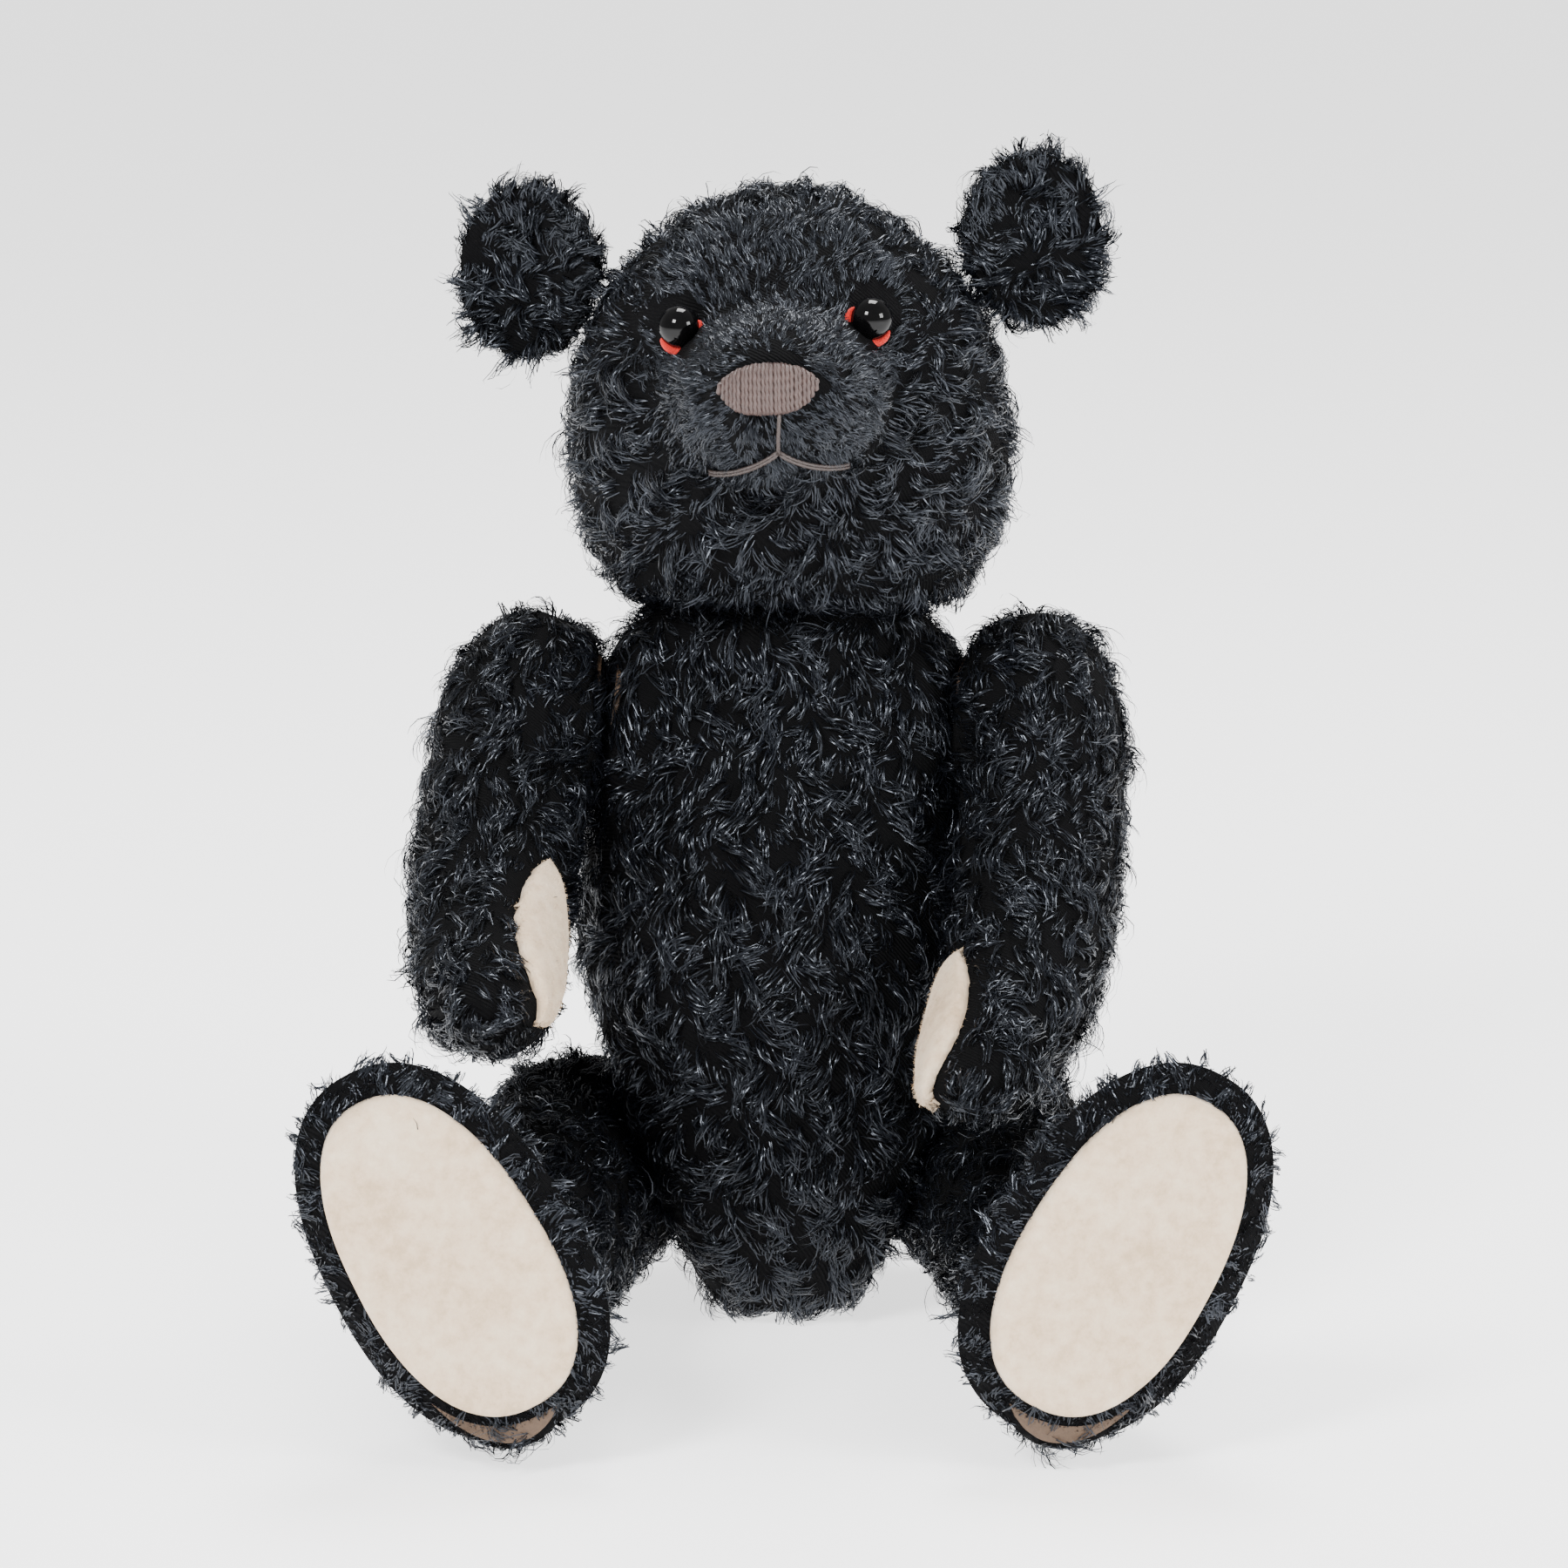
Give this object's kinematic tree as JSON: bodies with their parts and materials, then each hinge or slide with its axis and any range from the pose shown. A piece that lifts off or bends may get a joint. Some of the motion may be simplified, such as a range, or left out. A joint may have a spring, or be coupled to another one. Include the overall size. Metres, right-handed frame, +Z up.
{
  "type": "jointed teddy bear",
  "caption": "Sitting teddy bear of curly black mohair with felt paw and foot pads; head, arms and legs turn on pinned disc joints.",
  "frame": {"origin": "centre of the flat seat under the body, on the surface the bear sits on", "axes": "+Z up, -Y where the bear faces, +X the bear's own left"},
  "size_m": [0.2308, 0.2218, 0.3144],
  "materials": {
    "mohair": "curly black mohair pile with a cool blue-grey sheen",
    "pad_felt": "fuzzy cream wool felt",
    "red_felt": "red wool felt",
    "eye_glass": "polished black glass",
    "nose_thread": "mauve-brown cotton satin stitches",
    "mouth_thread": "dark brown cotton thread",
    "stuffing": "packed wood wool and wadding",
    "hardboard": "pressed hardboard",
    "steel": "zinc-plated steel"
  },
  "bodies": {
    "body": {"body_panel_left": "mohair", "body_panel_right": "mohair", "body_stuffing": "stuffing", "body_washers": "steel", "hip_body_disc_left": "hardboard", "hip_body_disc_right": "hardboard", "neck_body_disc": "hardboard", "shoulder_body_disc_left": "hardboard", "shoulder_body_disc_right": "hardboard"},
    "head": {"ear_back_left": "mohair", "ear_back_right": "mohair", "ear_front_left": "mohair", "ear_front_right": "mohair", "eye_felt_left": "red_felt", "eye_felt_right": "red_felt", "eye_glass_left": "eye_glass", "eye_glass_right": "eye_glass", "eye_shank_left": "steel", "eye_shank_right": "steel", "head_gusset": "mohair", "head_side_left": "mohair", "head_side_right": "mohair", "head_stuffing": "stuffing", "mouth_stitching": "mouth_thread", "neck_head_disc": "hardboard", "neck_head_pin": "steel", "neck_head_washer": "steel", "nose_stitching": "nose_thread"},
    "arm_left": {"arm_inner_panel_left": "mohair", "arm_outer_panel_left": "mohair", "arm_stuffing_left": "stuffing", "paw_pad_left": "pad_felt", "shoulder_arm_disc_left": "hardboard", "shoulder_arm_pin_left": "steel", "shoulder_arm_washer_left": "steel"},
    "arm_right": {"arm_inner_panel_right": "mohair", "arm_outer_panel_right": "mohair", "arm_stuffing_right": "stuffing", "paw_pad_right": "pad_felt", "shoulder_arm_disc_right": "hardboard", "shoulder_arm_pin_right": "steel", "shoulder_arm_washer_right": "steel"},
    "leg_left": {"foot_board_left": "hardboard", "foot_pad_left": "pad_felt", "hip_leg_disc_left": "hardboard", "hip_leg_pin_left": "steel", "hip_leg_washer_left": "steel", "leg_inner_panel_left": "mohair", "leg_outer_panel_left": "mohair", "leg_stuffing_left": "stuffing"},
    "leg_right": {"foot_board_right": "hardboard", "foot_pad_right": "pad_felt", "hip_leg_disc_right": "hardboard", "hip_leg_pin_right": "steel", "hip_leg_washer_right": "steel", "leg_inner_panel_right": "mohair", "leg_outer_panel_right": "mohair", "leg_stuffing_right": "stuffing"}
  },
  "joints": [
    {"name": "neck", "type": "hinge", "parent": "body", "child": "head", "pos_m": [0, 0.025, 0.189], "axis": [0, 0.1392, 0.9903], "continuous": true},
    {"name": "shoulder_left", "type": "hinge", "parent": "body", "child": "arm_left", "pos_m": [0.049, 0.014, 0.16], "axis": [-0.9418, 0.306, -0.1392], "range_deg": [-3, 80]},
    {"name": "shoulder_right", "type": "hinge", "parent": "body", "child": "arm_right", "pos_m": [-0.049, 0.014, 0.16], "axis": [-0.9897, -0.0346, 0.1392], "range_deg": [-10, 75]},
    {"name": "hip_left", "type": "hinge", "parent": "body", "child": "leg_left", "pos_m": [0.034, 0.002, 0.043], "axis": [-0.9285, -0.0976, 0.3584], "range_deg": [-45, 3]},
    {"name": "hip_right", "type": "hinge", "parent": "body", "child": "leg_right", "pos_m": [-0.034, 0.002, 0.043], "axis": [-0.9285, 0.0976, -0.3584], "range_deg": [-45, 5]}
  ]
}
